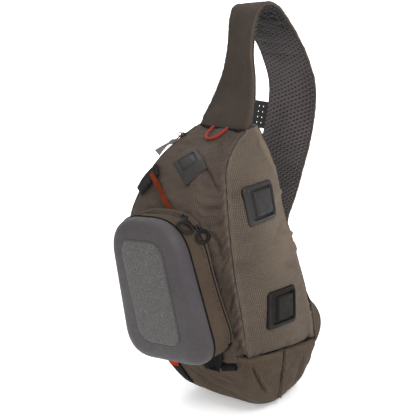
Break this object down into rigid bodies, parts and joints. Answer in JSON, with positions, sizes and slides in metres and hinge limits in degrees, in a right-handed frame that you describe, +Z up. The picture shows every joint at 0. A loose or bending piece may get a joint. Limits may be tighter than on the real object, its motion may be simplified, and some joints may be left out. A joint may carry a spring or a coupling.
{
  "type": "one-strap sling pack with a drop-front box pocket",
  "caption": "Olive-brown one-strap sling pack with a moulded drop-front pocket, felt patch and plastic lash plates",
  "frame": {"origin": "middle of the flat base of the boot, on the floor it stands on", "axes": "+Z up, -Y out of the front with the drop-front pocket, +X to the side with two lash plates, +Y to the back and strap"},
  "size_m": [0.2317, 0.398, 0.5839],
  "materials": {
    "front_cloth": "olive-brown coated ripstop nylon, darker front panel",
    "side_cloth": "olive-brown coated ripstop nylon",
    "strap_cloth": "dark brown nylon cover over foam",
    "spacer_mesh": "grey-brown spacer mesh over foam",
    "pocket_shell": "moulded charcoal foam shell with a fabric-like face",
    "felt": "heather grey felt",
    "black_webbing": "black woven nylon",
    "zip_tape": "dark coil zip on woven tape",
    "slider_metal": "dark coated die-cast slider",
    "pull_rubber": "soft moulded grey pull",
    "moulded_plate": "dark grey moulded plate, satin",
    "black_plastic": "black moulded plastic",
    "grey_webbing": "grey folded webbing",
    "orange_webbing": "rust-orange woven webbing",
    "red_cord": "braided red-orange cord",
    "red_webbing": "bright red-orange woven tab"
  },
  "bodies": {
    "root": {"front_panel": "front_cloth", "right_side_panel": "side_cloth", "left_side_panel": "side_cloth", "boot": "side_cloth", "pocket_gusset": "side_cloth", "shoulder_strap": "strap_cloth", "strap_wing": "strap_cloth", "back_panel": "spacer_mesh", "strap_lining": "spacer_mesh", "pocket_shell": "pocket_shell", "felt_panel": "felt", "strap_webbing": "black_webbing", "pocket_hinge": "black_webbing", "hinge_web": "black_webbing", "boot_trim": "black_webbing", "hinge_tunnel": "black_webbing", "pocket_zip": "zip_tape", "main_zip": "zip_tape", "pocket_slider_left": "slider_metal", "pocket_slider_right": "slider_metal", "main_slider": "slider_metal", "pocket_pull_left": "pull_rubber", "pocket_pull_right": "pull_rubber", "main_pull": "pull_rubber", "lash_plate_upper": "moulded_plate", "lash_plate_lower": "moulded_plate", "lash_plate_front": "moulded_plate", "ladder_lock": "black_plastic", "strap_tab": "black_plastic", "gear_tab": "grey_webbing", "strap_keeper": "grey_webbing", "tether_webbing": "orange_webbing", "cord_loop": "red_cord", "red_tab": "red_webbing"}
  },
  "joints": []
}
